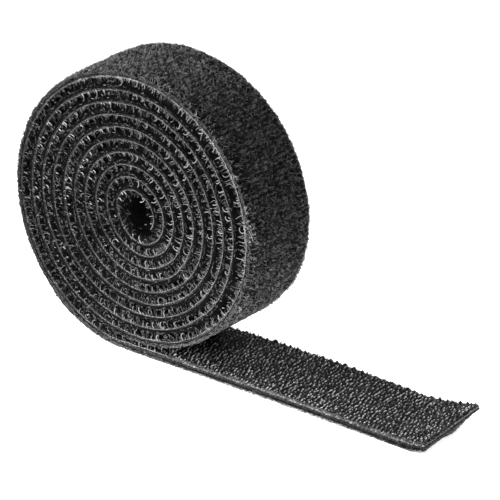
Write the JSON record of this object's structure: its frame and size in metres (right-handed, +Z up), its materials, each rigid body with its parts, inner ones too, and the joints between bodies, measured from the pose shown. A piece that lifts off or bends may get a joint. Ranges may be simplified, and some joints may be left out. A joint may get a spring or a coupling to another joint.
{
  "type": "hook and loop tape roll",
  "caption": "Coreless roll of double-sided hook and loop tape, hooks inside and brushed pile outside, with a free tail that lies flat and bends up.",
  "frame": {"origin": "on the table, under the middle of the whole object's box", "axes": "+X along the free tail away from the roll, +Y along the roll's axis, +Z up"},
  "size_m": [0.107, 0.02, 0.0619],
  "materials": {
    "hook_tape": "woven nylon ground with stiff glossy monofilament hooks, black",
    "bond_film": "thin cured adhesive film, black, seen only as a line at the tape's edges",
    "loop_tape": "knitted nylon with a brushed loop pile, matt and fuzzy, charcoal black"
  },
  "bodies": {
    "roll": {"roll_hook_tape": "hook_tape", "roll_bond_film": "bond_film", "roll_loop_tape": "loop_tape"},
    "inner_end": {"inner_end_hook_tape": "hook_tape", "inner_end_bond_film": "bond_film", "inner_end_loop_tape": "loop_tape"},
    "tail_near": {"tail_near_hook_tape": "hook_tape", "tail_near_bond_film": "bond_film", "tail_near_loop_tape": "loop_tape"},
    "tail_middle": {"tail_middle_hook_tape": "hook_tape", "tail_middle_bond_film": "bond_film", "tail_middle_loop_tape": "loop_tape"},
    "tail_tip": {"tail_tip_hook_tape": "hook_tape", "tail_tip_bond_film": "bond_film", "tail_tip_loop_tape": "loop_tape"}
  },
  "joints": [
    {"name": "tail_peel", "type": "hinge", "parent": "roll", "child": "tail_near", "pos_m": [-0.00964, 0, 0.00108], "axis": [0, -1, 0], "range_deg": [0, 40]},
    {"name": "tail_bend", "type": "hinge", "parent": "tail_near", "child": "tail_middle", "pos_m": [0.01675, 0, 0.00108], "axis": [0, -1, 0], "range_deg": [0, 40]},
    {"name": "tip_lift", "type": "hinge", "parent": "tail_middle", "child": "tail_tip", "pos_m": [0.04313, 0, 0.00108], "axis": [0, -1, 0], "range_deg": [0, 40]},
    {"name": "inner_end_flex", "type": "hinge", "parent": "roll", "child": "inner_end", "pos_m": [-0.0186, 0, 0.03403], "axis": [0, 1, 0], "range_deg": [0, 25], "stiffness_Nm_per_rad": 0.0002}
  ]
}
